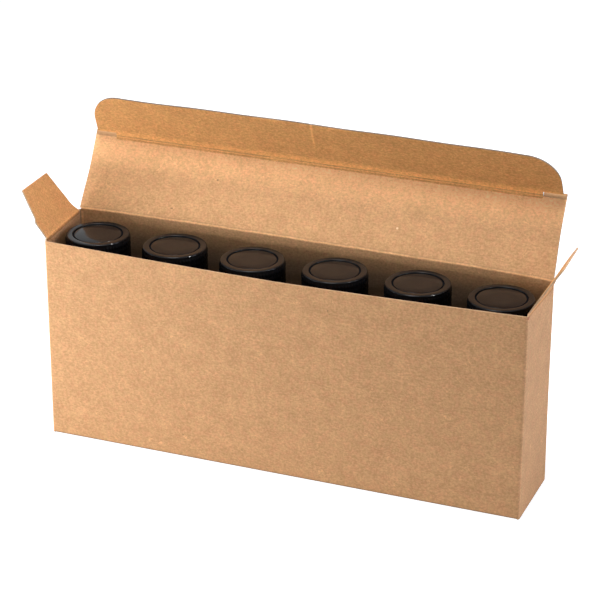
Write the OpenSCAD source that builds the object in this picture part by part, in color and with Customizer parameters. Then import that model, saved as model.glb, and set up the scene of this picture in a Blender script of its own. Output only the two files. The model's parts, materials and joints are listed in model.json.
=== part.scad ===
// Tuck-top paperboard carton, standing open, with six screw-cap glass vials in one row.
// X runs along the carton, the front faces -Y, and the carton stands on z = 0.
// All sizes are in millimetres. The origin is the centre of the carton's base.

/* [Board] */
// Thickness of the paperboard
board = 0.5; // [0.4:0.05:0.6]
// Outer radius of the folded vertical and bottom edges
fold_r = 0.8; // [0.65:0.05:1.2]
// Clearance at every cut edge beside a fold or a wall
cut_gap = 0.1; // [0.08:0.01:0.2]
// Depth of the front panel's top edge below the lid's fold
front_drop = 1.2; // [1.15:0.05:2]
// Width of the glue tab inside the rear wall
glue_tab_w = 12; // [8:1:18]
// Slant of the glue tab's two ends
glue_tab_slant = 3; // [1:0.5:4]
// Depth of the glue tab's top end below the front panel's top edge
glue_tab_drop = 5; // [1:0.5:10]

/* [Vials] */
// Diameter of a vial's body
vial_d = 23; // [20:0.5:28]
// Height of a vial from its foot to the top of its cap
vial_total_h = 66.2; // [56:0.2:80]
// Space between two neighbouring vials
vial_gap = 4.16; // [2:0.02:8]
// Free play of the vials from front to rear
vial_play = 1.3; // [0.6:0.1:3]
// Headroom between the caps and the front panel's top edge
cap_headroom = 0.7; // [0.5:0.1:3]
// Glass thickness of a vial's wall
glass_wall = 1.1; // [0.8:0.1:1.5]
// Glass thickness of a vial's foot
glass_foot = 1.6; // [1:0.1:3]
// Radius of a vial's rounded heel
heel_r = 1.8; // [1.6:0.1:3]
// Radius of a vial's rounded shoulder
shoulder_r = 3.5; // [2.5:0.1:4]
// Glass thickness of a vial's neck
neck_wall = 1.5; // [1.2:0.1:2.2]
// Height of the thicker lip on top of the neck
lip_h = 1.4; // [0.8:0.1:2]
// How far the lip stands out from the neck
lip_step = 0.4; // [0.2:0.05:0.6]

/* [Caps] */
// Diameter of a cap over its ribs
cap_d = 21; // [20.6:0.1:22]
// Height of a cap
cap_h = 15.5; // [12:0.5:18]
// Thickness of a cap's top
cap_top_t = 1.8; // [1.4:0.1:2.4]
// Thickness of a cap's skirt under its ribs
cap_wall = 1; // [0.8:0.05:1.4]
// Space between a cap's skirt and the lip of the vial's neck
cap_neck_room = 0.9; // [0.5:0.1:1.2]
// Radius of a cap's rounded top edge
cap_edge_r = 0.4; // [0.3:0.1:1.2]
// Number of grip ribs around a cap
rib_count = 60; // [40:2:72]
// Depth of the grip ribs
rib_depth = 0.3; // [0.15:0.05:0.4]
// Height of the plain bands above and below the ribs
rib_margin = 0.9; // [0.5:0.1:2]
// Width of the raised rim around a cap's top
rim_w = 2.1; // [1.7:0.1:3]
// Width of the round groove inside the rim
groove_w = 0.8; // [0.5:0.1:1.2]
// Depth of the groove
groove_depth = 0.6; // [0.3:0.1:0.9]
// Depth of the centre disc below the rim
disc_depth = 0.2; // [0.1:0.05:0.3]
// Thickness of the liner in a cap
liner_t = 1; // [0.8:0.1:1.5]
// Clearance of the liner in the cap and on the lip, and of the cap above the shoulder
liner_gap = 0.05; // [0.03:0.01:0.1]
// Space between a cap's lower edge and the vial's shoulder
cap_foot_gap = 0.5; // [0.3:0.1:1]

/* [Lid] */
// Angle of the lid from lying closed to where it stands
lid_angle = 120.5; // [90:0.5:178]
// Length of the tuck flap from its fold to its edge
tuck_len = 16.8; // [10:0.2:18]
// Angle by which the tuck flap is folded in
tuck_angle = 53; // [0:1:89]
// Inset of the lid's ends from the carton's ends
lid_inset = 0.35; // [0.3:0.05:0.6]
// Inset of the tuck flap's ends from the lid's ends
tuck_inset = 0.95; // [0.5:0.05:3]
// Radius of the tuck flap's corners
tuck_corner_r = 10; // [6:0.5:14]
// Length of the lock slit at each end of the tuck flap's fold
slit_len = 6.5; // [4:0.5:10]
// How far the lid's corners reach past its fold, up to the lock slits
lock_reach = 1.5; // [0.8:0.1:2]

/* [Dust flaps] */
// Length of a dust flap from its fold to its tip
dust_len = 16.8; // [10:0.2:24]
// Angle of the left dust flap out of the vertical
dust_left_angle = 38; // [0:1:89]
// Angle of the right dust flap out of the vertical
dust_right_angle = 30.8; // [0:0.2:89]
// Length of the full-width shoulder at the front of a dust flap
dust_shoulder = 6; // [4:0.5:8]
// Step in at the end of that shoulder
dust_step = 1.2; // [0.4:0.1:2]
// Taper of a dust flap's front edge from the step to the tip
dust_front_taper = 2.9; // [0:0.1:5]
// Radius of the hollow curve at the rear of a dust flap's base
dust_rear_r = 9; // [6:0.5:12]
// How far that curve flares out at the fold
dust_rear_flare = 1.8; // [0.5:0.1:3]
// Taper of a dust flap's rear edge from that curve to the tip
dust_rear_taper = 1.5; // [0:0.1:4]
// Inset of a dust flap's rear end from the rear wall
dust_rear_inset = 0.7; // [0.6:0.1:2]

/* [Hidden] */
VIALS = 6;
$fn = 72;

kraft = [0.80, 0.61, 0.42];
kraft_inside = [0.74, 0.55, 0.36];
dark_glass = [0.36, 0.18, 0.06, 0.7];
cap_black = [0.04, 0.04, 0.045];
liner_white = [0.88, 0.87, 0.84];

half_board = board / 2;
// How far a cut reaches past the surface that it opens
overcut = 1;

// The tuck flap slides down between the front panel and the vials, and the glue tab is behind them.
tuck_room = board + 2 * cut_gap;
inner_depth = tuck_room + vial_d + vial_play + cut_gap + board;
inner_length = VIALS * vial_d + (VIALS - 1) * vial_gap + 2 * cut_gap;
box_depth = inner_depth + 2 * board;
box_length = inner_length + 2 * board;
floor_t = 2 * board;

cap_top_z = floor_t + vial_total_h;
front_top_z = cap_top_z + cap_headroom;
lid_fold_z = front_top_z + front_drop;
dust_fold_z = lid_fold_z - board - cut_gap;

rear_fold_y = box_depth / 2 - half_board;
end_fold_x = box_length / 2 - half_board;
rear_fold_half = box_length / 2 - fold_r;
lid_half = box_length / 2 - lid_inset;
lid_len = inner_depth - cut_gap;
plate_start = half_board + cut_gap;
tuck_half = lid_half - tuck_inset;
slit_x = tuck_half - slit_len;

dust_front_y = -inner_depth / 2 + tuck_room + cut_gap / 2;
dust_rear_y = inner_depth / 2 - dust_rear_inset;

vial_pitch = vial_d + vial_gap;
vial_first_x = -(VIALS - 1) / 2 * vial_pitch;
vial_mid_y = (tuck_room - board - cut_gap) / 2;
// Where each vial stands in its free play, from -1 at the front to 1 at the rear
vial_stand = [1, 0.7, -1, 0.8, 1, -1];
// How far each cap is turned, so that its ribs stand as they happen to
cap_turns = [8, 31, 3, 22, 14, 40];

cap_foot_z = cap_top_z - cap_h;
liner_top_z = cap_top_z - cap_top_t;
lip_top_z = liner_top_z - liner_t - liner_gap;
shoulder_top_z = cap_foot_z - cap_foot_gap;
vial_body_r = vial_d / 2;
cap_r = cap_d / 2;
cap_core_r = cap_r - rib_depth;
cap_bore_r = cap_core_r - cap_wall;
groove_r = cap_core_r - rim_w;
lip_r = cap_bore_r - cap_neck_room;
neck_r = lip_r - lip_step;
neck_bore_r = neck_r - neck_wall;

function vial_place(i) = [
    vial_first_x + (i - 1) * vial_pitch,
    vial_mid_y + vial_stand[i - 1] * vial_play / 2
];

// Rectangle with true round corners, centred on the origin
module rounded_plan(length, depth, radius) {
    square([length - 2 * radius, depth], center = true);
    square([length, depth - 2 * radius], center = true);
    for (sx = [-1, 1], sy = [-1, 1])
        translate([sx * (length / 2 - radius), sy * (depth / 2 - radius)])
            circle(radius);
}

// Outline of the carton seen along X: the bottom is two glued layers, the outer one folded up
// into the front panel and the inner one folded up into the rear wall
module end_outline() {
    half = box_depth / 2;
    translate([-half, board + fold_r])
        square([box_depth, front_top_z - board - fold_r]);
    translate([-half + fold_r, 0])
        square([box_depth - 2 * fold_r, board + 2 * fold_r]);
    translate([-half, fold_r])
        square([half, board + fold_r]);
    translate([-half + fold_r, fold_r])
        circle(fold_r);
    translate([half - fold_r, board + fold_r])
        circle(fold_r);
}

module along_x(length) {
    rotate([90, 0, 90])
        linear_extrude(length, center = true)
            children();
}

// The folded edge that carries a hinged panel: a wall with a round nose along its fold
module end_fold(side) {
    base_z = front_top_z - board;
    length = dust_rear_y - dust_front_y;
    translate([side * end_fold_x, 0, 0]) {
        translate([-half_board, -box_depth / 2 + fold_r, base_z])
            cube([board, box_depth - 2 * fold_r, dust_fold_z - base_z]);
        translate([0, dust_front_y, dust_fold_z])
            rotate([-90, 0, 0])
                cylinder(h = length, r = half_board);
    }
}

module rear_fold() {
    base_z = front_top_z - board;
    translate([-rear_fold_half, rear_fold_y - half_board, base_z])
        cube([2 * rear_fold_half, board, lid_fold_z - base_z]);
    translate([-rear_fold_half, rear_fold_y, lid_fold_z])
        rotate([0, 90, 0])
            cylinder(h = 2 * rear_fold_half, r = half_board);
}

// Glue tab folded from the left end wall on to the inside of the rear wall
module glue_tab() {
    top = front_top_z - glue_tab_drop;
    translate([-inner_length / 2, inner_depth / 2, floor_t - board])
        rotate([90, 0, 0])
            linear_extrude(board)
                polygon([
                    [-half_board, 0], [glue_tab_w, glue_tab_slant],
                    [glue_tab_w, top - glue_tab_slant - floor_t], [-half_board, top - floor_t]
                ]);
}

module carton_body() {
    color(kraft) {
        difference() {
            intersection() {
                linear_extrude(front_top_z)
                    rounded_plan(box_length, box_depth, fold_r);
                along_x(box_length)
                    end_outline();
            }
            translate([0, 0, floor_t])
                linear_extrude(front_top_z)
                    rounded_plan(inner_length, inner_depth, fold_r - board);
        }
        end_fold(-1);
        end_fold(1);
        rear_fold();
        glue_tab();
    }
}

// A flat panel of board in the XY plane, its mid-plane through the fold axis along X
module plate() {
    translate([0, 0, -half_board])
        linear_extrude(board)
            children();
}

// Puts a panel on the lid's fold, turned to the lid's angle
module at_lid_fold() {
    translate([0, rear_fold_y, lid_fold_z])
        rotate([180 - lid_angle, 0, 0])
            children();
}

// The lid ends in the nose that carries the tuck flap, and its two corners reach past that fold
module lid_panel() {
    corner_x = slit_x + cut_gap;
    color(kraft_inside)
        at_lid_fold() {
            plate() {
                translate([-lid_half, plate_start])
                    square([2 * lid_half, lid_len - plate_start]);
                for (x = [-lid_half, corner_x])
                    translate([x, lid_len - board])
                        square([lid_half - corner_x, lock_reach + board]);
            }
            translate([-slit_x, lid_len, 0])
                rotate([0, 90, 0])
                    cylinder(h = 2 * slit_x, r = half_board);
        }
}

// Tuck flap: round outer corners, and at each end of its fold a lock slit along the lid's corner
module tuck_outline() {
    slit_end = lock_reach + cut_gap;
    translate([-slit_x, plate_start])
        square([2 * slit_x, slit_end - plate_start + overcut]);
    intersection() {
        translate([-tuck_half, slit_end])
            square([2 * tuck_half, tuck_len]);
        rounded_plan(2 * tuck_half, 2 * tuck_len, tuck_corner_r);
    }
}

module tuck_flap() {
    color(kraft_inside)
        at_lid_fold()
            translate([0, lid_len, 0])
                rotate([tuck_angle, 0, 0])
                    plate()
                        tuck_outline();
}

// Dust flap outline with its fold along Y: x is the way out to the tip
module dust_outline() {
    step_x = dust_shoulder + dust_step;
    step_y = dust_front_y + dust_step;
    curve_x = plate_start + sqrt(pow(dust_rear_r, 2) - pow(dust_rear_r - dust_rear_flare, 2));
    curve_y = dust_rear_y - dust_rear_flare;
    difference() {
        polygon([
            [plate_start, dust_front_y], [dust_shoulder, dust_front_y],
            [step_x, step_y], [dust_len, step_y + dust_front_taper],
            [dust_len, curve_y - dust_rear_taper],
            [curve_x, curve_y], [plate_start, dust_rear_y]
        ]);
        translate([curve_x, curve_y + dust_rear_r])
            circle(dust_rear_r);
    }
}

// side is -1 at the left end and 1 at the right end; angle is measured out of the vertical
module dust_flap(side, angle) {
    color(kraft)
        translate([side * end_fold_x, 0, dust_fold_z])
            rotate([0, side * (angle - 90), 0])
                mirror([side < 0 ? 1 : 0, 0, 0])
                    plate()
                        dust_outline();
}

// Solid of a vial's outer shape in half section: body, heel, shoulder, neck and lip
module vial_outer() {
    shoulder_z = shoulder_top_z - shoulder_r;
    translate([0, floor_t + heel_r])
        square([vial_body_r, shoulder_z - floor_t - heel_r]);
    translate([0, floor_t])
        square([vial_body_r - heel_r, heel_r]);
    translate([vial_body_r - heel_r, floor_t + heel_r])
        circle(heel_r);
    translate([0, floor_t + heel_r])
        square([vial_body_r - shoulder_r, shoulder_top_z - floor_t - heel_r]);
    translate([vial_body_r - shoulder_r, shoulder_z])
        circle(shoulder_r);
    translate([0, shoulder_z])
        square([neck_r, lip_top_z - shoulder_z]);
    translate([0, lip_top_z - lip_h])
        square([lip_r, lip_h]);
}

// The hollow of a vial in half section
module vial_inner() {
    inner_r = vial_body_r - glass_wall;
    inner_floor = floor_t + glass_foot;
    inner_heel = heel_r - glass_wall / 2;
    inner_shoulder = shoulder_r - glass_wall;
    shoulder_z = shoulder_top_z - shoulder_r;
    translate([0, inner_floor + inner_heel])
        square([inner_r, shoulder_z - inner_floor - inner_heel]);
    translate([0, inner_floor])
        square([inner_r - inner_heel, inner_heel]);
    translate([inner_r - inner_heel, inner_floor + inner_heel])
        circle(inner_heel);
    translate([0, inner_floor + inner_heel])
        square([inner_r - inner_shoulder, shoulder_z + inner_shoulder - inner_floor - inner_heel]);
    translate([inner_r - inner_shoulder, shoulder_z])
        circle(inner_shoulder);
    translate([0, shoulder_z])
        square([neck_bore_r, lip_top_z]);
}

module vial(i) {
    color(dark_glass)
        translate(vial_place(i))
            rotate_extrude()
                difference() {
                    vial_outer();
                    vial_inner();
                }
}

// Cap shell in half section, without its ribs
module cap_section() {
    difference() {
        union() {
            square([cap_core_r, cap_h - cap_edge_r]);
            square([cap_core_r - cap_edge_r, cap_h]);
            translate([cap_core_r - cap_edge_r, cap_h - cap_edge_r])
                circle(cap_edge_r);
        }
        square([cap_bore_r, cap_h - cap_top_t]);
        translate([0, cap_h - disc_depth])
            square([groove_r, disc_depth + overcut]);
        translate([groove_r - groove_w, cap_h - groove_depth])
            square([groove_w, groove_depth + overcut]);
    }
}

// Straight grip ribs around the cap's skirt
module cap_ribs() {
    root_r = cap_core_r - rib_depth / 2;
    ring_r = (cap_bore_r + root_r) / 2;
    step = 360 / rib_count;
    translate([0, 0, rib_margin])
        linear_extrude(cap_h - cap_edge_r - 2 * rib_margin)
            difference() {
                polygon([
                    for (k = [0 : rib_count - 1], part = [0, 1])
                        let (a = (k + part / 2) * step, r = part == 0 ? cap_r : root_r)
                            [r * cos(a), r * sin(a)]
                ]);
                circle(ring_r);
            }
}

module screw_cap(i) {
    color(cap_black)
        translate([vial_place(i)[0], vial_place(i)[1], cap_foot_z])
            rotate(cap_turns[i - 1]) {
                rotate_extrude()
                    cap_section();
                cap_ribs();
            }
}

module cap_liner(i) {
    color(liner_white)
        translate([vial_place(i)[0], vial_place(i)[1], liner_top_z - liner_t])
            cylinder(h = liner_t, r = cap_bore_r - liner_gap);
}

carton_body();
lid_panel();
tuck_flap();
dust_flap(-1, dust_left_angle);  // dust_flap_left
dust_flap(1, dust_right_angle);  // dust_flap_right
for (i = [1 : VIALS]) {
    vial(i);
    screw_cap(i);
    cap_liner(i);
}
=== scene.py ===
"""Looks of the vial box: a kraft paperboard carton standing open, with six glass vials in black caps."""

import json
import math

import bpy
import numpy as np
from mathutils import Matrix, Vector


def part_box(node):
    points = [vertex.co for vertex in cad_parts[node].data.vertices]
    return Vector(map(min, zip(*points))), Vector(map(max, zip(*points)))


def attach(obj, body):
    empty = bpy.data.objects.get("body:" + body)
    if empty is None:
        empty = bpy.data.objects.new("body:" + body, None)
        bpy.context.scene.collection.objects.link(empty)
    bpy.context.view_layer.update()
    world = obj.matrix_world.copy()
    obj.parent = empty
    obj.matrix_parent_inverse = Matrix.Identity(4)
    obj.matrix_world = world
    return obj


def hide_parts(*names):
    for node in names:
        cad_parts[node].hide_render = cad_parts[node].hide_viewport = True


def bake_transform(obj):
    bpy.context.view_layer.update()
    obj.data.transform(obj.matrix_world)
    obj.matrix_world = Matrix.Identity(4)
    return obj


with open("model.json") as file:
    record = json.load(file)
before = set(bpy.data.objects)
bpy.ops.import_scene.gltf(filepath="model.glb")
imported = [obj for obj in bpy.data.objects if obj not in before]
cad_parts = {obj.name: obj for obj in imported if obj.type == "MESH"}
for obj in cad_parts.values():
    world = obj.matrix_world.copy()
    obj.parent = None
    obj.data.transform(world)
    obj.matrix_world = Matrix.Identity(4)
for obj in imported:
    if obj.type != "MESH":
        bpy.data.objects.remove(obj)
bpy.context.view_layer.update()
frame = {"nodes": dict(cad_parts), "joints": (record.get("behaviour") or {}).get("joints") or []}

MM = 0.001
JOINTS = {j["name"]: j for j in frame["joints"]}
VIALS = range(1, 7)

# Board and folds, in metres
BOARD = 0.5 * MM
HALF = BOARD / 2
FOLD_R = 0.8 * MM
MID_R = FOLD_R - HALF
CUT_GAP = 0.1 * MM
SEAM = 1.0 * MM
GRID = 1.6 * MM

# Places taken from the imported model
LID_AXIS = Vector(JOINTS["lid_hinge"]["pos_m"])
TUCK_AXIS = Vector(JOINTS["tuck_hinge"]["pos_m"])
LEFT_AXIS = Vector(JOINTS["dust_left_hinge"]["pos_m"])
RIGHT_AXIS = Vector(JOINTS["dust_right_hinge"]["pos_m"])
BODY_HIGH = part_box("carton_body")[1]
LID_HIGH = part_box("lid_panel")[1]
TUCK_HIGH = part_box("tuck_flap")[1]
HALF_LENGTH = BODY_HIGH.x
HALF_DEPTH = BODY_HIGH.y
LID_HALF = LID_HIGH.x
TUCK_HALF = TUCK_HIGH.x
DUST_FOLD_Z = LEFT_AXIS.z
FRONT_TOP = 67.9 * MM
LID_LEN = (TUCK_AXIS - LID_AXIS).length
LID_TILT = math.atan2(TUCK_AXIS.z - LID_AXIS.z, TUCK_AXIS.y - LID_AXIS.y)

# Tuck flap and dust flaps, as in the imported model
TUCK_LEN = 16.8 * MM
TUCK_FOLD = math.radians(53)
TUCK_CORNER_R = 10 * MM
SLIT_LEN = 6.5 * MM
SLIT_X = TUCK_HALF - SLIT_LEN
LOCK_REACH = 1.5 * MM
REAR_HALF = HALF_LENGTH - FOLD_R
DUST_LEN = 16.8 * MM
DUST_OUT = {"left": math.radians(38), "right": math.radians(30.8)}
DUST_FRONT_Y = -12.05 * MM
DUST_REAR_Y = 12.1 * MM
DUST_SHOULDER = 6 * MM
DUST_STEP = 1.2 * MM
DUST_TAPER = 2.9 * MM
DUST_CURVE_R = 9 * MM
DUST_FLARE = 1.8 * MM
DUST_REAR_TAPER = 1.5 * MM
DUST_CURVE_END = HALF + CUT_GAP + math.sqrt(DUST_CURVE_R ** 2 - (DUST_CURVE_R - DUST_FLARE) ** 2)

# Bows, creases, wear, painted light and painted shade
FRONT_BOW = 0.5 * MM
FRONT_SAG = 1.3 * MM
REAR_RISE = Vector((0, 0.35, 0.78)) * MM
REAR_CORNER_TOP = LID_AXIS.z - HALF - 0.05 * MM
# Edge and lower end of the painted highlight strip in the carton's left rear corner
PAINTED_STRIP_X = -HALF_LENGTH + 1.6 * MM
PAINTED_STRIP_LOW = 50 * MM
SCORE_STEP = 0.13 * MM
RIDGE_X = -1.9 * MM
# Strength of the painted contact shadow along the ground
GROUND_SHADE = 0.95

# Camera, from the fit to the photograph
CAMERA_AT = Vector((254.6, -640.5, 361.7)) * MM
CAMERA_TARGET = Vector((2.2, 0, 55.4)) * MM
LENS_MM = 144.3
SENSOR_MM = 36


def smooth(t):
    t = np.clip(t, 0, 1)
    return t * t * (3 - 2 * t)


def bump(t, centre, width):
    """A soft hump of height 1 at centre."""
    return np.exp(-((t - centre) / width) ** 2)


def spaced(low, high, step):
    """Even stations from low to high, about step apart."""
    return np.linspace(low, high, max(2, int(math.ceil((high - low) / step)) + 1))


def merged(*parts):
    """Sorted stations with near doubles dropped."""
    values = np.sort(np.concatenate([np.atleast_1d(p) for p in parts]))
    keep = np.concatenate([[True], np.diff(values) > 1e-6])
    return values[keep]


def new_object(name, verts, faces, materials, face_slots=None, sharp=None, wear_and_painted_light=None):
    mesh = bpy.data.meshes.new(name)
    mesh.from_pydata([tuple(v) for v in verts], [], faces)
    mesh.update()
    for m in materials:
        mesh.materials.append(m)
    if face_slots is not None:
        mesh.polygons.foreach_set("material_index", np.asarray(face_slots, np.int32))
    mesh.polygons.foreach_set("use_smooth", np.ones(len(mesh.polygons), bool))
    if sharp:
        for e in mesh.edges:
            if tuple(sorted(e.vertices)) in sharp:
                e.use_edge_sharp = True
    # Per-point attribute carrying wear as well as painted light and painted shade
    if wear_and_painted_light is not None:
        layer = mesh.attributes.new("wear_and_painted_light", "FLOAT", "POINT")
        layer.data.foreach_set("value", np.asarray(wear_and_painted_light, np.float32))
    obj = bpy.data.objects.new(name, mesh)
    bpy.context.scene.collection.objects.link(obj)
    return obj


def settle(points):
    """The folded carton isn't quite square.
    Its rear top corners and its bottom's right end stand out, and its rear fold rises."""
    x, y, z = points[..., 0], points[..., 1], points[..., 2]
    up = smooth(z / LID_AXIS.z) ** 2 * (1 - smooth((z - LID_AXIS.z) / (14 * MM)))
    back = smooth((y + HALF_DEPTH) / (2 * HALF_DEPTH))
    ends = np.clip(np.abs(x) / HALF_LENGTH, 0, 1) ** 4
    out = np.where(x < 0, 0.6, 0.45) * back * MM
    moved = points.copy()
    moved[..., 0] += np.sign(x) * ends * up * out
    moved[..., 2] -= 0.4 * MM * x / HALF_LENGTH * back * up
    span = 1 - np.clip(np.abs(x) / HALF_LENGTH, 0, 1) ** 8
    rise = (0.6 + 0.4 * smooth((x / HALF_LENGTH + 1) / 0.8)) * span
    moved += (rise * back ** 2 * up)[..., None] * np.array(REAR_RISE)
    low = (1 - smooth(z / FRONT_TOP)) * (1 + x / HALF_LENGTH) / 2
    moved[..., 1] += (2.4 * back - 1.0) * MM * low
    return moved


class Board:
    """Collects stretches of board, each a grid of mid-surface points with their outward normals."""

    def __init__(self):
        self.verts, self.faces, self.slots, self.sharp, self.wear_and_painted_light = [], [], [], set(), []

    def add(self, points, normals, mask=None, wear_and_painted_light=None, thickness=BOARD, closed=False, sides=(0, 0)):
        """points and normals are arrays (rows, columns, 3). mask says which cells are board.
        sides are the material slots of the outer and the inner face."""
        rows, cols = points.shape[:2]
        cells = cols if closed else cols - 1
        if mask is None:
            mask = np.ones((rows - 1, cells), bool)
        if wear_and_painted_light is None:
            wear_and_painted_light = np.zeros((rows, cols))
        base = len(self.verts)
        n = normals / np.linalg.norm(normals, axis=2, keepdims=True)
        outer = settle(points + n * thickness / 2)
        inner = settle(points - n * thickness / 2)
        self.verts += list(outer.reshape(-1, 3)) + list(inner.reshape(-1, 3))
        self.wear_and_painted_light += list(wear_and_painted_light.reshape(-1)) * 2
        count = rows * cols

        def at(i, j, side):
            return base + side * count + i * cols + j % cols

        def filled(i, j):
            if closed:
                j %= cells
            return 0 <= i < rows - 1 and 0 <= j < cells and mask[i, j]

        for i in range(rows - 1):
            for j in range(cells):
                if not mask[i, j]:
                    continue
                quad = [(i, j), (i, j + 1), (i + 1, j + 1), (i + 1, j)]
                self.face([at(a, b, 0) for a, b in quad], sides[0])
                self.face([at(a, b, 1) for a, b in reversed(quad)], sides[1])
                neighbours = [(i - 1, j, 0, 1), (i, j + 1, 1, 2), (i + 1, j, 2, 3), (i, j - 1, 3, 0)]
                for ni, nj, p, q in neighbours:
                    if filled(ni, nj):
                        continue
                    (a, b), (c, d) = quad[p], quad[q]
                    corners = [at(a, b, 0), at(a, b, 1), at(c, d, 1), at(c, d, 0)]
                    self.face(corners, 1)
                    self.sharp.add(tuple(sorted((corners[0], corners[3]))))
                    self.sharp.add(tuple(sorted((corners[1], corners[2]))))

    def face(self, corners, slot):
        self.faces.append(corners)
        self.slots.append(slot)

    def build(self, name, materials):
        used = np.zeros(len(self.verts), bool)
        for f in self.faces:
            used[f] = True
        new_index = np.cumsum(used) - 1
        verts = np.asarray(self.verts)[used]
        wear_and_painted_light = np.asarray(self.wear_and_painted_light)[used]
        faces = [[int(new_index[v]) for v in f] for f in self.faces]
        sharp = {tuple(sorted((int(new_index[a]), int(new_index[b])))) for a, b in self.sharp}
        return new_object(name, verts, faces, materials, self.slots, sharp, wear_and_painted_light)


# Materials


def nodes_of(name):
    material = bpy.data.materials.new(name)
    material.use_nodes = True
    tree = material.node_tree
    tree.nodes.clear()
    out = tree.nodes.new("ShaderNodeOutputMaterial")
    shader = tree.nodes.new("ShaderNodeBsdfPrincipled")
    tree.links.new(shader.outputs[0], out.inputs[0])
    return material, tree, shader, out


def noise_node(tree, vector, scale, detail=3.0, roughness=0.55, stretch=None):
    if stretch is not None:
        mapping = tree.nodes.new("ShaderNodeMapping")
        mapping.inputs["Scale"].default_value = stretch
        tree.links.new(vector, mapping.inputs["Vector"])
        vector = mapping.outputs["Vector"]
    node = tree.nodes.new("ShaderNodeTexNoise")
    node.inputs["Scale"].default_value = scale
    node.inputs["Detail"].default_value = detail
    node.inputs["Roughness"].default_value = roughness
    tree.links.new(vector, node.inputs["Vector"])
    return node.outputs["Fac"]


def ramp(tree, fac, stops):
    node = tree.nodes.new("ShaderNodeValToRGB")
    while len(node.color_ramp.elements) < len(stops):
        node.color_ramp.elements.new(0.5)
    for element, (position, colour) in zip(node.color_ramp.elements, stops):
        element.position = position
        element.color = (*colour, 1) if len(colour) == 3 else colour
    tree.links.new(fac, node.inputs["Fac"])
    return node.outputs["Color"]


def grey(value):
    return (value, value, value)


def mix_colour(tree, fac, a, b, mode="MIX"):
    node = tree.nodes.new("ShaderNodeMix")
    node.data_type = "RGBA"
    node.blend_type = mode
    for socket, value in ((node.inputs[0], fac), (node.inputs[6], a), (node.inputs[7], b)):
        if isinstance(value, bpy.types.NodeSocket):
            tree.links.new(value, socket)
        elif isinstance(value, (int, float)):
            socket.default_value = value
        else:
            socket.default_value = (*value, 1)
    return node.outputs[2]


def object_coords(tree):
    """Object coordinates in millimetres."""
    coords = tree.nodes.new("ShaderNodeTexCoord")
    mapping = tree.nodes.new("ShaderNodeMapping")
    mapping.inputs["Scale"].default_value = (1 / MM, 1 / MM, 1 / MM)
    tree.links.new(coords.outputs["Object"], mapping.inputs["Vector"])
    return mapping.outputs["Vector"]


def marked(tree, place, colour, spot, radius, tone):
    """Adds a small mark at a place in object coordinates."""
    away = tree.nodes.new("ShaderNodeVectorMath")
    away.operation = "DISTANCE"
    tree.links.new(place, away.inputs[0])
    away.inputs[1].default_value = spot
    scaled = tree.nodes.new("ShaderNodeMath")
    scaled.operation = "MULTIPLY"
    scaled.inputs[1].default_value = 0.5 / radius
    tree.links.new(away.outputs["Value"], scaled.inputs[0])
    inside = ramp(tree, scaled.outputs[0], [(0.32, grey(0.85)), (0.5, grey(0))])
    return mix_colour(tree, inside, colour, tone)


def inside_shade(tree, place):
    """Painted shade: darkens the carton's inside from the caps' tops downwards."""
    parts = tree.nodes.new("ShaderNodeSeparateXYZ")
    tree.links.new(place, parts.inputs[0])
    height = tree.nodes.new("ShaderNodeMapRange")
    height.inputs["From Min"].default_value = SHADE_LOW
    height.inputs["From Max"].default_value = SHADE_HIGH
    tree.links.new(parts.outputs["Z"], height.inputs["Value"])
    return ramp(tree, height.outputs["Result"], [(0, grey(0.16)), (0.5, grey(0.34)), (1, grey(1))])


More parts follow.
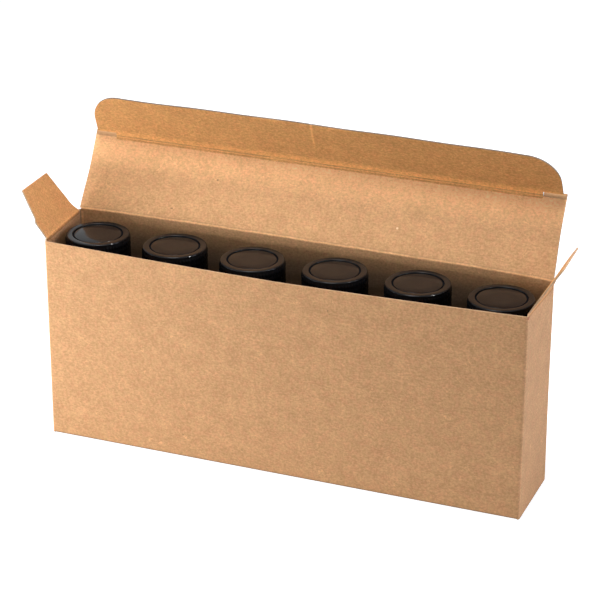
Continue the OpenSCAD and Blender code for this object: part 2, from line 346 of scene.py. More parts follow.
def kraft(name, tone, specks=1.0, grain=1.0, marks=(), painted_shade=False):
    """Uncoated kraft board: clouded tone, fine fibres, a few dark specks and pale hairs."""
    material, tree, shader, _ = nodes_of(name)
    place = object_coords(tree)
    light = tuple(c * 1.05 for c in tone)
    dark = tuple(c * k for c, k in zip(tone, (0.92, 0.91, 0.89)))

    clouds = noise_node(tree, place, 0.16, 4, 0.6)
    colour = mix_colour(tree, ramp(tree, clouds, [(0.3, grey(0)), (0.7, grey(1))]), dark, light)
    mottle = noise_node(tree, place, 1.45, 3, 0.6)
    tint = ramp(tree, mottle, [(0.37, (0.82, 0.79, 0.75)), (0.63, (1, 1, 1))])
    colour = mix_colour(tree, min(1, 0.95 * grain), colour, tint, "MULTIPLY")
    fibres = noise_node(tree, place, 2.0, 3, 0.6, stretch=(0.45, 1.0, 1.2))
    tint = ramp(tree, fibres, [(0.39, (0.80, 0.78, 0.75)), (0.61, (1, 1, 1))])
    colour = mix_colour(tree, min(1, 0.7 * grain), colour, tint, "MULTIPLY")
    blush = noise_node(tree, place, 0.45, 3, 0.6)
    tint = ramp(tree, blush, [(0.36, (0.945, 0.97, 0.945)), (0.5, grey(0.97)), (0.64, (1, 0.95, 0.97))])
    colour = mix_colour(tree, 1.0, colour, tint, "MULTIPLY")

    dots = noise_node(tree, place, 0.62, 2, 0.4)
    spots = ramp(tree, dots, [(0.0, grey(1)), (0.18, grey(1)), (0.21, grey(0))])
    colour = mix_colour(tree, spots, colour, tuple(c * 0.45 for c in tone))
    for spot, radius, mark_tone in marks:
        colour = marked(tree, place, colour, spot, radius, mark_tone)
    hair_field = noise_node(tree, place, 0.22, 2, 0.5, stretch=(1, 1, 1.3))
    hairs = ramp(tree, hair_field, [(0.488, grey(0)), (0.5, grey(1)), (0.512, grey(0))])
    where = ramp(tree, noise_node(tree, place, 0.34, 1, 0.5), [(0.60, grey(0)), (0.68, grey(0.5 * specks))])
    hair = tree.nodes.new("ShaderNodeMath")
    hair.operation = "MULTIPLY"
    tree.links.new(hairs, hair.inputs[0])
    tree.links.new(where, hair.inputs[1])
    colour = mix_colour(tree, hair.outputs[0], colour, tuple(min(1, c * 1.35) for c in tone))

    # Painted shade on the carton's inside, darker lower down
    if painted_shade:
        colour = mix_colour(tree, 1.0, colour, inside_shade(tree, place), "MULTIPLY")

    # The per-point attribute lightens the board where positive and darkens it where negative; besides pale
    # creases and scuffs it carries painted light and painted shade
    wear_and_light_attribute = tree.nodes.new("ShaderNodeAttribute")
    wear_and_light_attribute.attribute_name = "wear_and_painted_light"
    lift = tree.nodes.new("ShaderNodeMath")
    lift.operation = "MAXIMUM"
    lift.inputs[1].default_value = 0
    tree.links.new(wear_and_light_attribute.outputs["Fac"], lift.inputs[0])
    sink = tree.nodes.new("ShaderNodeMath")
    sink.operation = "MULTIPLY"
    sink.inputs[1].default_value = -1
    tree.links.new(wear_and_light_attribute.outputs["Fac"], sink.inputs[0])
    sunk = tree.nodes.new("ShaderNodeMath")
    sunk.operation = "MAXIMUM"
    sunk.inputs[1].default_value = 0
    tree.links.new(sink.outputs[0], sunk.inputs[0])
    colour = mix_colour(tree, lift.outputs[0], colour, mix_colour(tree, 1.0, colour, grey(1.8), "MULTIPLY"))
    colour = mix_colour(tree, sunk.outputs[0], colour, tuple(c * 0.42 for c in tone))
    tree.links.new(colour, shader.inputs["Base Color"])

    rough = ramp(tree, mottle, [(0.3, grey(0.86)), (0.7, grey(0.72))])
    tree.links.new(rough, shader.inputs["Roughness"])
    shader.inputs["Specular IOR Level"].default_value = 0.3
    height = noise_node(tree, place, 2.2, 5, 0.6)
    relief = tree.nodes.new("ShaderNodeBump")
    relief.inputs["Strength"].default_value = 0.35
    relief.inputs["Distance"].default_value = 0.06 * MM
    tree.links.new(height, relief.inputs["Height"])
    tree.links.new(relief.outputs[0], shader.inputs["Normal"])
    return material


def black_plastic(name, shine=0.13):
    material, tree, shader, _ = nodes_of(name)
    place = object_coords(tree)
    haze = noise_node(tree, place, 0.5, 4, 0.6)
    colour = ramp(tree, haze, [(0.3, (0.006, 0.006, 0.007)), (0.7, (0.010, 0.010, 0.011))])
    tree.links.new(colour, shader.inputs["Base Color"])
    rough = ramp(tree, noise_node(tree, place, 0.9, 5, 0.65), [(0.3, grey(0.10)), (0.75, grey(0.20))])
    tree.links.new(rough, shader.inputs["Roughness"])
    shader.inputs["Specular IOR Level"].default_value = shine
    relief = tree.nodes.new("ShaderNodeBump")
    relief.inputs["Strength"].default_value = 0.15
    relief.inputs["Distance"].default_value = 0.02 * MM
    tree.links.new(noise_node(tree, place, 3.0, 4, 0.6), relief.inputs["Height"])
    tree.links.new(relief.outputs[0], shader.inputs["Normal"])
    return material


def amber_glass(name):
    material, tree, shader, _ = nodes_of(name)
    place = object_coords(tree)
    clouds = noise_node(tree, place, 0.12, 2, 0.5)
    tint = ramp(tree, clouds, [(0.3, (0.42, 0.17, 0.035)), (0.7, (0.50, 0.22, 0.05))])
    tree.links.new(tint, shader.inputs["Base Color"])
    shader.inputs["Transmission Weight"].default_value = 1.0
    shader.inputs["Roughness"].default_value = 0.03
    shader.inputs["IOR"].default_value = 1.5
    return material


def foam_white(name):
    material, tree, shader, _ = nodes_of(name)
    place = object_coords(tree)
    cells = noise_node(tree, place, 4.0, 3, 0.6)
    colour = ramp(tree, cells, [(0.3, (0.66, 0.65, 0.62)), (0.7, (0.78, 0.77, 0.74))])
    tree.links.new(colour, shader.inputs["Base Color"])
    shader.inputs["Roughness"].default_value = 0.8
    return material


TONE = (0.732, 0.410, 0.195)
# The tuck flap's tone is a warmer copy of the board's tone, painted warm bounce light; the dust flaps' tone
# is a darker copy of that, painted shade
TUCK_BOUNCE_TONE = (0.78, 0.387, 0.132)
DUST_FLAP_SHADED_TONE = (0.69, 0.336, 0.118)
# The cut edges of the one board come in three tones: bright on the carton and right dust flap, dull on the
# lid and left dust flap, dark grey on the tuck flap; the differences are painted light and painted shade
EDGE_TONE = (0.72, 0.47, 0.28)
DULL_EDGE_TONE = (0.46, 0.33, 0.22)
GREY_EDGE_TONE = (0.22, 0.165, 0.12)
# Heights in millimetres between which the painted shade on the carton's inside deepens downwards
SHADE_LOW, SHADE_HIGH = 57.0, 66.5
# Small flaws of the board: place in millimetres, radius and tone
FLAWS = [
    ((51.5, -13.3, 37.3), 0.45, (0.26, 0.14, 0.07)),
    ((-32.8, -13.3, 8.0), 0.4, (0.22, 0.12, 0.07)),
    ((-34.5, 21.1, 82.8), 0.4, (0.28, 0.15, 0.07)),
    ((27.9, 17.6, 76.8), 0.45, (0.95, 0.66, 0.40)),
    ((80.0, -12.6, 67.4), 0.75, (0.42, 0.13, 0.06)),
]
BOARD_FACE = kraft("kraft_face", TONE, marks=FLAWS)
BOARD_CUT = kraft("kraft_cut_edge", EDGE_TONE, specks=0.3)
# The carton's inside faces carry painted shade
KRAFT = [BOARD_FACE, BOARD_CUT, kraft("kraft_inside", TONE, painted_shade=True)]
DULL_CUT = kraft("kraft_dull_edge", DULL_EDGE_TONE, specks=0.3)
KRAFT_LID = [BOARD_FACE, DULL_CUT]
KRAFT_DUST = [kraft("kraft_dust_face", DUST_FLAP_SHADED_TONE, grain=1.4), DULL_CUT]
KRAFT_TUCK = [
    kraft("kraft_tuck_face", TUCK_BOUNCE_TONE, grain=1.4),
    kraft("kraft_grey_edge", GREY_EDGE_TONE, specks=0.3)]
# The second copy, without shine, goes in the cap's top groove: painted shade in the groove
BLACK = [black_plastic("black_cap_plastic"), black_plastic("black_groove_plastic", shine=0.0)]
AMBER = amber_glass("amber_vial_glass")
FOAM = foam_white("white_liner_foam")


# Carton


def ring_stations():
    """Stations around the carton's walls: plan place, outward normal, and the wall they belong to."""
    a, b = HALF_LENGTH - FOLD_R, HALF_DEPTH - FOLD_R
    mid_x, mid_y = HALF_LENGTH - HALF, HALF_DEPTH - HALF
    shy = 0.25 * MM
    xs = merged(spaced(-a, a, GRID), [shy - a, a - shy, PAINTED_STRIP_X - 0.05 * MM, PAINTED_STRIP_X])
    ys = merged(spaced(-b, b, GRID), [shy - b, b - shy, DUST_FRONT_Y, DUST_REAR_Y])
    out = []

    def corner(cx, cy, start):
        for k in range(1, 6):
            t = start + math.pi / 2 * k / 6
            nx, ny = math.cos(t), math.sin(t)
            out.append((cx + MID_R * nx, cy + MID_R * ny, nx, ny, "corner"))

    for x in xs:
        out.append((x, -mid_y, 0, -1, "front"))
    corner(a, -b, -math.pi / 2)
    for y in ys:
        out.append((mid_x, y, 1, 0, "right"))
    corner(a, b, 0)
    for x in xs[::-1]:
        out.append((x, mid_y, 0, 1, "rear"))
    corner(-a, b, math.pi / 2)
    for y in ys[::-1]:
        out.append((-mid_x, y, -1, 0, "left"))
    corner(-a, -b, math.pi)
    return out


def front_slack(x, z):
    """Share of the front panel's sag at a place: full at the middle of its top edge."""
    return smooth(z / FRONT_TOP) ** 2 * (1 - min(1, abs(x) / HALF_LENGTH) ** 1.5)


def wall_give(x, y, z, nx, ny):
    """How far a wall has given inwards at a place: soft bows of thin board.
    The front panel's top bows outwards instead."""
    u = x / HALF_LENGTH
    v = z / FRONT_TOP
    along = 1 - u ** 2
    up = np.clip(v * (1.15 - v) * 2.6, 0, 1)
    front = 0.05 * along * up - FRONT_BOW / MM * front_slack(x, z)
    rear = 0.05 * along * up
    end = 0.12 * up * (1 - (y / HALF_DEPTH) ** 2)
    if ny < -0.5:
        return front * MM
    if ny > 0.5:
        return rear * MM
    return end * MM


def carton_walls(board):
    ring = ring_stations()
    top_z = LID_AXIS.z - SEAM
    dust_top = DUST_FOLD_Z - SEAM
    front_low, rear_low, end_low = 2.0 * MM, 2.5 * MM, 0.12 * MM
    folds = [rear_low, dust_top, DUST_FOLD_Z, top_z, REAR_CORNER_TOP]
    zs = merged(spaced(front_low, FRONT_TOP, GRID), folds, [end_low, 0.5 * MM, FRONT_TOP - 0.4 * MM])
    rows, cols = len(zs), len(ring)
    points = np.zeros((rows, cols, 3))
    normals = np.zeros((rows, cols, 3))
    wear_and_painted_light = np.zeros((rows, cols))
    for j, (x, y, nx, ny, wall) in enumerate(ring):
        for i, z in enumerate(zs):
            give = wall_give(x, y, z, nx, ny)
            sag = FRONT_SAG * front_slack(x, z) if wall == "front" else 0
            points[i, j] = (x - nx * give, y - ny * give, z - sag)
            normals[i, j] = (nx, ny, 0)
            if wall == "corner":
                wear_and_painted_light[i, j] = 0.15
            # Painted contact shadow on the lowest row
            if z <= end_low:
                wear_and_painted_light[i, j] = -GROUND_SHADE
            # In the left rear corner: painted shadow in the gap at the corner, painted highlight on a strip
            # of the rear wall beside it
            if x < 0 and y > 0 and z > PAINTED_STRIP_LOW:
                corner_shade_and_highlight = {"corner": -0.8, "rear": 0.45 * float(x < PAINTED_STRIP_X)}
                wear_and_painted_light[i, j] = corner_shade_and_highlight.get(wall, wear_and_painted_light[i, j])
    mask = np.zeros((rows - 1, cols), bool)
    for j in range(cols):
        k = (j + 1) % cols
        _, y, _, _, wall = ring[j]
        _, y2, _, _, wall2 = ring[k]
        low, high = end_low, FRONT_TOP
        same = wall if wall == wall2 else "corner"
        if same == "front":
            low = front_low
        elif same == "rear":
            low = rear_low
            high = top_z
        elif same in ("left", "right"):
            hinged = DUST_FRONT_Y - 1e-6 <= min(y, y2) and max(y, y2) <= DUST_REAR_Y + 1e-6
            high = dust_top if hinged else DUST_FOLD_Z
        else:
            high = REAR_CORNER_TOP if y > 0 else FRONT_TOP
        for i in range(rows - 1):
            mask[i, j] = zs[i] >= low - 1e-6 and zs[i + 1] <= high + 1e-6
    board.add(points, normals, mask, wear_and_painted_light, closed=True, sides=(0, 2))


def fold_path(start, direction, legs, bends, steps=None):
    """Points and directions of a path in a plane: straight legs with round bends between them.
    direction is an angle; each bend is (angle, radius) or None; steps gives each leg's spacing."""
    place, angle = np.array(start, float), direction
    path = [(place.copy(), angle)]
    for k, leg in enumerate(legs):
        count = max(1, int(math.ceil(leg / (steps[k] if steps else GRID))))
        for _ in range(count):
            place = place + leg / count * np.array([math.cos(angle), math.sin(angle)])
            path.append((place.copy(), angle))
        if k < len(bends) and bends[k]:
            turn, radius = bends[k]
            parts = max(3, int(abs(math.degrees(turn)) / 12))
            for _ in range(parts):
                chord = 2 * radius * math.sin(abs(turn) / parts / 2)
                angle += turn / parts / 2
                place = place + chord * np.array([math.cos(angle), math.sin(angle)])
                angle += turn / parts / 2
                path.append((place.copy(), angle))
    return path


def strip_across(board, path, xs, wear_and_painted_light=None, normal_side=1):
    """Board along X whose section in the YZ plane is a path."""
    rows = len(path)
    points = np.zeros((rows, len(xs), 3))
    normals = np.zeros((rows, len(xs), 3))
    for i, (p, angle) in enumerate(path):
        points[i, :, 0] = xs
        points[i, :, 1] = p[0]
        points[i, :, 2] = p[1]
        normals[i, :, 1] = -math.sin(angle) * normal_side
        normals[i, :, 2] = math.cos(angle) * normal_side
    w = None if wear_and_painted_light is None else np.tile(np.asarray(wear_and_painted_light)[:, None], (1, len(xs)))
    board.add(points, normals, None, w)


def carton_bottom(board):
    """Two glued layers: the outer one folds out of the front panel, the inner one out of the rear wall."""
    xs = spaced(-HALF_LENGTH + FOLD_R, HALF_LENGTH - FOLD_R, 4 * MM)
    mid_y = HALF_DEPTH - HALF
    front_drop, rear_drop = 2.0 * MM, 2.5 * MM
    outer = fold_path(
        (-mid_y, front_drop), -math.pi / 2,
        [front_drop - HALF - MID_R, 2 * mid_y - MID_R - 0.9 * MM], [(math.pi / 2, MID_R)],
        steps=[0.3 * MM, GRID])
    inner = fold_path(
        (mid_y, rear_drop), -math.pi / 2,
        [rear_drop - BOARD - HALF - MID_R, 2 * mid_y - MID_R - 0.9 * MM], [(-math.pi / 2, MID_R)])
    # Painted contact shadow on the outer layer's bend along the ground
    painted_shade = [-GROUND_SHADE * (1 - smooth((p[1] - 0.4 * MM) / (0.45 * MM))) for p, _ in outer]
    strip_across(board, outer, xs, wear_and_painted_light=painted_shade, normal_side=-1)
    strip_across(board, inner, xs)


def glue_tab(board):
    """Tab folded from the left end wall and glued to the inside of the rear wall."""
    width, slant, drop = 12 * MM, 3 * MM, 5 * MM
    left = -HALF_LENGTH + BOARD
    y = HALF_DEPTH - BOARD - HALF - 0.02 * MM
    low, high = 2 * BOARD, FRONT_TOP - drop
    us = np.linspace(0, 1, 9)
    vs = np.linspace(0, 1, 40)
    points = np.zeros((len(vs), len(us), 3))
    normals = np.zeros_like(points)
    for i, v in enumerate(vs):
        for j, u in enumerate(us):
            z0 = low + slant * u
            z1 = high - slant * u
            x = left + width * u
            points[i, j] = (x, y - wall_give(x, y, FRONT_TOP * v, 0, 1), z0 + (z1 - z0) * v)
            normals[i, j] = (0, -1, 0)
    board.add(points, normals, sides=(2, 2))


def make_carton():
    board = Board()
    carton_walls(board)
    carton_bottom(board)
    glue_tab(board)
    obj = board.build("kraft_carton", KRAFT)
    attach(obj, "carton")
    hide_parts("carton_body")


# Lid and tuck flap


def lid_stations():
    corner = SLIT_X + CUT_GAP
    marks = [-SLIT_X, SLIT_X, -corner, corner, -REAR_HALF, REAR_HALF]
    return merged(spaced(-LID_HALF, LID_HALF, GRID), marks)


def crease_wobble(x, scale=1.0):
    """Small irregular wander along a hand-bent crease."""
    u = x / MM
    waves = 0.05 * np.sin(0.21 * u + 0.6) + 0.03 * np.sin(0.53 * u + 2.0) + 0.02 * np.sin(1.1 * u)
    return scale * MM * waves


def make_lid():
    board = Board()
    bend = LID_TILT - math.pi / 2
    lead = SEAM - 0.25 * MM
    radius = 0.5 * MM / abs(bend)
    path = fold_path(
        (LID_AXIS.y, LID_AXIS.z - SEAM), math.pi / 2,
        [lead, 1.2 * MM, LID_LEN - SEAM - 1.45 * MM, SEAM, LOCK_REACH], [(bend, radius)],
        steps=[SCORE_STEP, SCORE_STEP, GRID, 0.5 * MM, 0.5 * MM])
    xs = lid_stations()
    rows = len(path)
    lengths = [np.linalg.norm(path[i + 1][0] - path[i][0]) for i in range(rows - 1)]
    s = np.concatenate([[0], np.cumsum(lengths)]) - SEAM
    points = np.zeros((rows, len(xs), 3))
    normals = np.zeros_like(points)
    wear_and_painted_light = np.zeros((rows, len(xs)))
    u = xs / LID_HALF
    for i, (p, angle) in enumerate(path):
        t = np.clip(s[i] / LID_LEN, 0, 1)
        bow = math.sin(math.pi * t) * (0.35 * (1 - u ** 2) + 0.10 * np.sin(5 * u + 1)) * MM
        n = np.array([-math.sin(angle), math.cos(angle)])
        points[i, :, 0] = xs
        points[i, :, 1] = p[0] - n[0] * bow
        points[i, :, 2] = p[1] - n[1] * bow
        normals[i, :, 1] = n[0]
        normals[i, :, 2] = n[1]
        crease = s[i] + crease_wobble(xs, 1.2)
        wear_and_painted_light[i] = 0.55 * bump(crease, 0.1 * MM, 0.22 * MM) - 0.3 * bump(crease, 0.62 * MM, 0.16 * MM)
        beyond = s[i] - LID_LEN
        # Painted light: the lid's upper half grows lighter towards the tuck fold, where the tuck flap shades
        # it
        wear_and_painted_light[i] += (0.85 + 0.13 * u) * smooth((t - 0.5) / 0.42) * (1 - smooth(1 + beyond / (0.5 * MM)))
        # Painted light at the lid's left end, where the left dust flap shades it
        wear_and_painted_light[i] += 0.24 * bump(t, 0.35, 0.3) * smooth((-u - 0.7) / 0.25)
        # Painted shade along the lock slit
        wear_and_painted_light[i] -= 0.55 * bump(beyond, 0.5 * MM, 0.6 * MM)
    mask = np.ones((rows - 1, len(xs) - 1), bool)
    for j in range(len(xs) - 1):
        far, near = max(abs(xs[j]), abs(xs[j + 1])), min(abs(xs[j]), abs(xs[j + 1]))
        if far <= SLIT_X + 1e-6:
            mask[:, j] = s[1:] <= LID_LEN - SEAM + 0.02 * MM
        elif far <= SLIT_X + CUT_GAP + 1e-6:
            mask[:, j] = s[1:] <= LID_LEN + 0.02 * MM
        if near >= REAR_HALF - 1e-6:
            mask[:, j] &= s[:-1] >= -1e-6
    board.add(points, normals, mask, wear_and_painted_light)
    obj = board.build("kraft_lid", KRAFT_LID)
    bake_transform(obj)
    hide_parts("lid_panel")


def make_tuck():
    board = Board()
    corner_x = TUCK_HALF - TUCK_CORNER_R
    ends = corner_x + TUCK_CORNER_R * np.sin(np.linspace(0, math.pi / 2, 13))
    near_ridge = spaced(RIDGE_X - MM, RIDGE_X + MM, 0.2 * MM)
    xs = merged(spaced(-corner_x, corner_x, GRID), near_ridge, ends, -ends, [-SLIT_X, SLIT_X])
    corner = np.clip((np.abs(xs) - corner_x) / TUCK_CORNER_R, 0, 1)
    reach = TUCK_LEN - TUCK_CORNER_R + TUCK_CORNER_R * np.sqrt(1 - corner ** 2)
    half_turn = TUCK_FOLD / 2
    crease = 0.5 * MM
    radius = 0.22 * MM / half_turn
    # Rows before the panel: from the seam on the lid, over two close creases, to the slit's edge
    trim = 0.1 * MM
    legs = [SEAM - crease - trim, 2 * (crease - trim), LOCK_REACH + CUT_GAP - crease - trim]
    head = fold_path((-SEAM, 0), 0, legs, [(half_turn, radius), (half_turn, radius)], steps=[SCORE_STEP] * 3)
    last, last_angle = head[-1]
    start = np.linalg.norm(last)
    body_rows = 11
    rows = len(head) + body_rows
    points = np.zeros((rows, len(xs), 3))
    normals = np.zeros_like(points)
    wear_and_painted_light = np.zeros((rows, len(xs)))
    out = np.array([0, math.cos(LID_TILT), math.sin(LID_TILT)])
    up = np.array([0, -math.sin(LID_TILT), math.cos(LID_TILT)])
    fold = np.array(TUCK_AXIS)
    u = xs / TUCK_HALF
    droop = 0.010 * smooth((u + 0.1) / 1.1) + 0.05 * smooth(u / 0.9)
    curl = 0.12 * np.sin(7 * u + 0.5) + 0.10 * np.sin(15 * u)
    ridge = bump(xs, RIDGE_X, 0.35 * MM)
    for i in range(rows):
        if i < len(head):
            p, angle = head[i]
            along = np.full(len(xs), p[0])
            rise = np.full(len(xs), p[1])
            place = math.copysign(np.linalg.norm(p), p[0])
            # Over the head rows: painted light brightening the strip, painted shade along the two score
            # lines, painted highlight at the fold and above the upper score line
            wander = crease_wobble(xs, 0.8)
            score = bump(place + wander, -crease, 0.17 * MM) * 0.8 + bump(place + wander, crease, 0.2 * MM)
            strength = 0.5 + 0.3 * np.sin(xs / (3.1 * MM)) * np.sin(xs / (7.3 * MM) + 1) - 0.15 * u
            upper = bump(place + wander, crease + 0.42 * MM, 0.16 * MM)
            pale = bump(place, 0, 0.2 * MM) + smooth(u + 0.3) * upper
            wear_and_painted_light[i] = 0.4 + 0.1 * u + 0.25 * pale - strength * score
        else:
            t = (i - len(head) + 1) / body_rows
            angle = last_angle
            length = (reach - start) * t
            off = droop * length + (curl + 0.12 * ridge) * MM * t * t
            along = last[0] + math.cos(angle) * length - math.sin(angle) * off
            rise = last[1] + math.sin(angle) * length + math.cos(angle) * off
            scuffs = np.clip(bump(u, -0.1, 0.3) * (0.4 + 0.6 * np.sin(23 * u)), 0, 1)
            wear_and_painted_light[i] = 0.6 * ridge * smooth(3 * t - 0.8) + 0.4 * scuffs * (t > 0.97)
        points[i] = fold + along[:, None] * out + rise[:, None] * up
        points[i, :, 0] = xs
        normals[i] = -math.sin(angle) * out + math.cos(angle) * up
    mask = np.ones((rows - 1, len(xs) - 1), bool)
    for j in range(len(xs) - 1):
        if min(abs(xs[j]), abs(xs[j + 1])) >= SLIT_X - 1e-6:
            mask[:len(head) - 1, j] = False
    board.add(points, normals, mask, wear_and_painted_light)
    obj = board.build("kraft_tuck_flap", KRAFT_TUCK)
    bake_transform(obj)
    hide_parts("tuck_flap")


# Dust flaps


def dust_edges(u):
    """Front and rear edge of a dust flap at distance u from its fold."""
    step_end = DUST_SHOULDER + DUST_STEP
    if u <= DUST_SHOULDER:
        front = DUST_FRONT_Y
    elif u <= step_end:
        front = DUST_FRONT_Y + (u - DUST_SHOULDER)
    else:
        front = DUST_FRONT_Y + DUST_STEP + DUST_TAPER * (u - step_end) / (DUST_LEN - step_end)
    narrow = DUST_REAR_Y - DUST_FLARE
    if u <= HALF + CUT_GAP:
        rear = DUST_REAR_Y
    elif u <= DUST_CURVE_END:
        rear = narrow + DUST_CURVE_R - math.sqrt(DUST_CURVE_R ** 2 - (DUST_CURVE_END - u) ** 2)
    else:
        rear = narrow - DUST_REAR_TAPER * (u - DUST_CURVE_END) / (DUST_LEN - DUST_CURVE_END)
    return front, rear


def make_dust(name, side, curl, twist, materials):
    """curl bends the flap's tip towards the inside, twist its rear edge."""
    board = Board()
    axis = LEFT_AXIS if side < 0 else RIGHT_AXIS
    lean = DUST_OUT["left" if side < 0 else "right"]
    step_end = DUST_SHOULDER + DUST_STEP
    curved = spaced(0.6 * MM, DUST_CURVE_END, 0.6 * MM)
    stations = merged(curved, spaced(DUST_CURVE_END, DUST_LEN, GRID), [DUST_SHOULDER, step_end])
    radius = 0.5 * MM / lean
    # In this path the first axis points outwards and the second up
    head = fold_path((0, -SEAM), math.pi / 2, [SEAM - 0.25 * MM], [(-lean, radius)])
    last, angle = head[-1]
    start_u = np.linalg.norm(last)
    vs = np.linspace(0, 1, 18)
    rows = len(head) + len(stations)
    points = np.zeros((rows, len(vs), 3))
    normals = np.zeros_like(points)
    wear_and_painted_light = np.zeros((rows, len(vs)))
    for i in range(rows):
        if i < len(head):
            p, a = head[i]
            u, n = 0, np.zeros(2)
        else:
            u = stations[i - len(head)]
            a = angle
            d = np.array([math.cos(a), math.sin(a)])
            n = np.array([-math.sin(a), math.cos(a)])
            p = last + d * (u - start_u) + n * curl * (u / DUST_LEN) ** 2
            a = a + 2 * curl * u / DUST_LEN ** 2
        front, rear = dust_edges(max(u, 0))
        ys = front + (rear - front) * vs
        turned = twist * vs * smooth(u / DUST_SHOULDER)
        points[i, :, 0] = axis.x + side * (p[0] + n[0] * turned)
        points[i, :, 1] = ys
        points[i, :, 2] = axis.z + p[1] + n[1] * turned
        normals[i, :, 0] = side * math.sin(a)
        normals[i, :, 2] = -math.cos(a)
        near = 0 if i < len(head) else u
        wear_and_painted_light[i] = 0.3 * bump(near, 0, 0.5 * MM) if i >= 1 else -0.5
    if side > 0:
        points, normals, wear_and_painted_light = points[:, ::-1], normals[:, ::-1], wear_and_painted_light[:, ::-1]
    board.add(points, normals, None, wear_and_painted_light)
    obj = board.build(name, materials)
    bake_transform(obj)
    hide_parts("dust_flap_left" if side < 0 else "dust_flap_right")


# Caps

CAP_R = 10.5 * MM
CAP_CORE_R = 10.2 * MM
CAP_H = 15.5 * MM
CAP_TOP = 1.8 * MM
CAP_BORE = 9.2 * MM
CAP_EDGE = 0.4 * MM
GROOVE_R = 8.1 * MM
GROOVE_W = 0.5 * MM
GROOVE_DEPTH = 0.6 * MM
DISC_DEPTH = 0.2 * MM
KNURL_AROUND = 60
KNURL_ROWS = 8
KNURL_LOW = 0.9 * MM


def arc(cx, cz, r, start, end, steps):
    return [(cx + r * math.cos(t), cz + r * math.sin(t)) for t in np.linspace(start, end, steps + 1)]


def cap_profile():
    """Cap section from the middle of its top outwards, down the skirt and back up inside."""
    soft = 0.12 * MM
    disc_r = GROOVE_R - GROOVE_W
    disc_z = CAP_H - DISC_DEPTH
    floor_z = CAP_H - GROOVE_DEPTH
    top = [(0.0, disc_z), (disc_r * 0.5, disc_z)]
    top += arc(disc_r - soft, disc_z - soft, soft, math.pi / 2, 0, 3)
    top += arc(disc_r + soft, floor_z + soft, soft, math.pi, 1.5 * math.pi, 3)
    top += arc(GROOVE_R - soft, floor_z + soft, soft, -math.pi / 2, 0, 3)
    top += arc(GROOVE_R + 2 * soft, CAP_H - 2 * soft, 2 * soft, math.pi, math.pi / 2, 4)
    top += arc(CAP_CORE_R - CAP_EDGE, CAP_H - CAP_EDGE, CAP_EDGE, math.pi / 2, 0, 8)
    knurl_top = CAP_H - CAP_EDGE - 0.5 * MM
    steps = KNURL_ROWS * 4
    skirt = [(CAP_CORE_R, z) for z in np.linspace(knurl_top, KNURL_LOW, steps + 1)]
    foot = [(CAP_CORE_R, 0.25 * MM)] + arc(CAP_CORE_R - 0.2 * MM, 0.2 * MM, 0.2 * MM, 0, -math.pi / 2, 3)
    inside = [(CAP_BORE, 0.0), (CAP_BORE, CAP_H - CAP_TOP), (0.0, CAP_H - CAP_TOP)]
    return top, skirt, foot, inside, knurl_top


def make_cap(number):
    low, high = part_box(f"screw_cap_{number}")
    centre = (low + high) / 2
    turn = 0.37 * number
    top, skirt, foot, inside, knurl_top = cap_profile()
    profile = top + skirt + foot + inside
    around = KNURL_AROUND * 4
    verts, faces = [], []
    rows = []
    for r, z in profile:
        if r < 1e-9:
            rows.append([len(verts)])
            verts.append((centre.x, centre.y, low.z + z))
            continue
        ring = []
        in_skirt = abs(r - CAP_CORE_R) < 1e-9 and KNURL_LOW - 1e-9 <= z <= knurl_top + 1e-9
        level = (knurl_top - z) / (knurl_top - KNURL_LOW) * KNURL_ROWS
        for k in range(around):
            a = 2 * math.pi * k / around + turn
            rr = r
            if in_skirt:
                bead = max(0.0, math.sin(math.pi * (level % 1.0))) * abs(math.sin(math.pi * k / 4))
                rr = r + (CAP_R - CAP_CORE_R) * bead ** 0.7
            ring.append(len(verts))
            verts.append((centre.x + rr * math.cos(a), centre.y + rr * math.sin(a), low.z + z))
        rows.append(ring)
    slots = []
    for (r, z), a, b in zip(profile, rows[:-1], rows[1:]):
        in_groove = GROOVE_R - GROOVE_W < r < GROOVE_R and CAP_H - GROOVE_DEPTH <= z < CAP_H
        slots += [int(in_groove)] * around
        for k in range(around):
            n = (k + 1) % around
            if len(a) == 1:
                faces.append([a[0], b[k], b[n]])
            elif len(b) == 1:
                faces.append([a[k], b[0], a[n]])
            else:
                faces.append([a[k], b[k], b[n], a[n]])
    obj = new_object(f"knurled_cap_{number}", verts, faces, BLACK, slots)
    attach(obj, f"cap_{number}")
    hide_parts(f"screw_cap_{number}")


def dress_vials():
    for i in VIALS:
        for stem, material, slot in (("vial", AMBER, "amber_glass"), ("cap_liner", FOAM, "white_liner")):
            obj = frame["nodes"][f"{stem}_{i}"]
            obj.data.materials.clear()
            obj.data.materials.append(material)


# Stage, light and camera

FLOOR_SIZE = 6.0
FLOOR_GLOW = 0.85
SKY_SIDE = 0.02
SKY_TOP = 0.04
# Each light: place, aim, width, height, watts and colour. The glint shows only in reflections.
LIGHTS = {
    "key": ((-0.240, -0.185, 0.054), (0, 0, 0.05), 0.20, 0.06, 0.78, (0.99, 1, 1.03)),
    "top": ((-0.05, -0.065, 0.60), (0, 0, 0.05), 0.22, 0.22, 3.2, (1, 1, 1)),
    "right": ((0.7, 0.10, 0.15), (0, 0, 0.05), 0.16, 0.50, 3.1, (0.98, 1, 1.13)),
    "glint": ((0.506, -0.103, 0.37), (0, 0, 0.066), 0.03, 0.03, 6.0, (1, 1, 1), True),
}


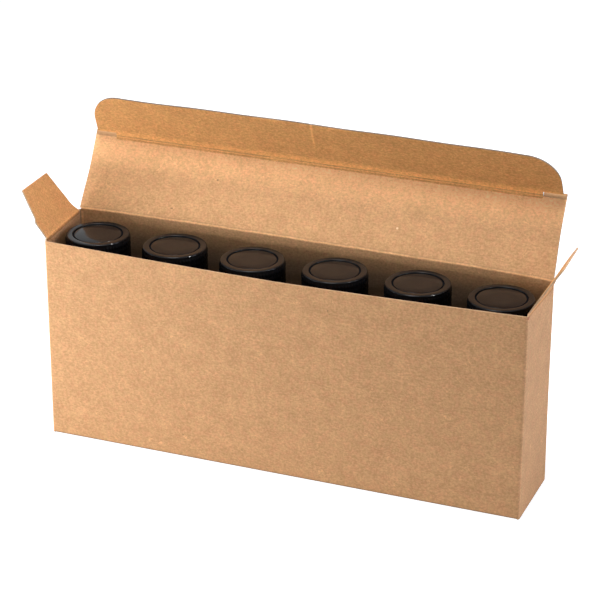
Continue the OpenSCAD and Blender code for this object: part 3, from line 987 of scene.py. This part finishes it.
def camera_only_white(tree, strength):
    """Adds a white glow that only the camera, reflections and glass see."""
    path = tree.nodes.new("ShaderNodeLightPath")
    total = path.outputs["Is Camera Ray"]
    for name in ("Is Glossy Ray", "Is Transmission Ray"):
        either = tree.nodes.new("ShaderNodeMath")
        either.operation = "MAXIMUM"
        tree.links.new(total, either.inputs[0])
        tree.links.new(path.outputs[name], either.inputs[1])
        total = either.outputs[0]
    scaled = tree.nodes.new("ShaderNodeMath")
    scaled.operation = "MULTIPLY"
    scaled.inputs[1].default_value = strength
    tree.links.new(total, scaled.inputs[0])
    return scaled.outputs[0]


def make_floor():
    mesh = bpy.data.meshes.new("floor")
    h = FLOOR_SIZE / 2
    mesh.from_pydata([(-h, -h, 0), (h, -h, 0), (h, h, 0), (-h, h, 0)], [], [(0, 1, 2, 3)])
    floor = bpy.data.objects.new("floor", mesh)
    bpy.context.scene.collection.objects.link(floor)
    material = bpy.data.materials.new("pale_floor")
    material.use_nodes = True
    tree = material.node_tree
    tree.nodes.clear()
    out = tree.nodes.new("ShaderNodeOutputMaterial")
    diffuse = tree.nodes.new("ShaderNodeBsdfDiffuse")
    diffuse.inputs["Color"].default_value = (0.60, 0.615, 0.65, 1)
    glow = tree.nodes.new("ShaderNodeEmission")
    tree.links.new(camera_only_white(tree, FLOOR_GLOW), glow.inputs["Strength"])
    total = tree.nodes.new("ShaderNodeAddShader")
    tree.links.new(diffuse.outputs[0], total.inputs[0])
    tree.links.new(glow.outputs[0], total.inputs[1])
    tree.links.new(total.outputs[0], out.inputs[0])
    mesh.materials.append(material)


def make_world():
    """White to the camera. As light, the sky differs between its sides and its top."""
    world = bpy.data.worlds.new("studio")
    bpy.context.scene.world = world
    world.use_nodes = True
    tree = world.node_tree
    tree.nodes.clear()
    out = tree.nodes.new("ShaderNodeOutputWorld")
    coords = tree.nodes.new("ShaderNodeTexCoord")
    split = tree.nodes.new("ShaderNodeSeparateXYZ")
    tree.links.new(coords.outputs["Generated"], split.inputs[0])
    level = ramp(tree, split.outputs["Z"], [(0.2, grey(SKY_SIDE)), (0.7, grey(SKY_TOP))])
    fill = tree.nodes.new("ShaderNodeBackground")
    tree.links.new(level, fill.inputs["Color"])
    white = tree.nodes.new("ShaderNodeBackground")
    white.inputs["Color"].default_value = (1, 1, 1, 1)
    pick = tree.nodes.new("ShaderNodeMixShader")
    tree.links.new(camera_only_white(tree, 1), pick.inputs[0])
    tree.links.new(fill.outputs[0], pick.inputs[1])
    tree.links.new(white.outputs[0], pick.inputs[2])
    tree.links.new(pick.outputs[0], out.inputs[0])


def area_light(name, place, target, width, height, power, colour, only_shine=False):
    data = bpy.data.lights.new(name, "AREA")
    data.shape = "RECTANGLE"
    data.size = width
    data.size_y = height
    data.energy = power
    data.color = colour
    light = bpy.data.objects.new(name, data)
    bpy.context.scene.collection.objects.link(light)
    light.location = place
    light.visible_diffuse = not only_shine
    light.rotation_euler = (Vector(target) - Vector(place)).to_track_quat("-Z", "Y").to_euler()


def make_camera():
    data = bpy.data.cameras.new("camera")
    data.sensor_width = SENSOR_MM
    data.lens = LENS_MM
    data.clip_start = 0.01
    camera = bpy.data.objects.new("camera", data)
    bpy.context.scene.collection.objects.link(camera)
    camera.location = CAMERA_AT
    camera.rotation_euler = (CAMERA_TARGET - CAMERA_AT).to_track_quat("-Z", "Y").to_euler()
    bpy.context.scene.camera = camera


make_carton()
make_lid()
make_tuck()
make_dust("kraft_dust_flap_left", -1, 0.2 * MM, 0, KRAFT_DUST)
make_dust("kraft_dust_flap_right", 1, -0.5 * MM, 0.55 * MM, [KRAFT_DUST[0], BOARD_CUT])
for number in VIALS:
    make_cap(number)
dress_vials()
make_floor()
make_world()
for name, settings in LIGHTS.items():
    area_light(name, *settings)
make_camera()
bpy.context.scene.view_settings.view_transform = "Standard"
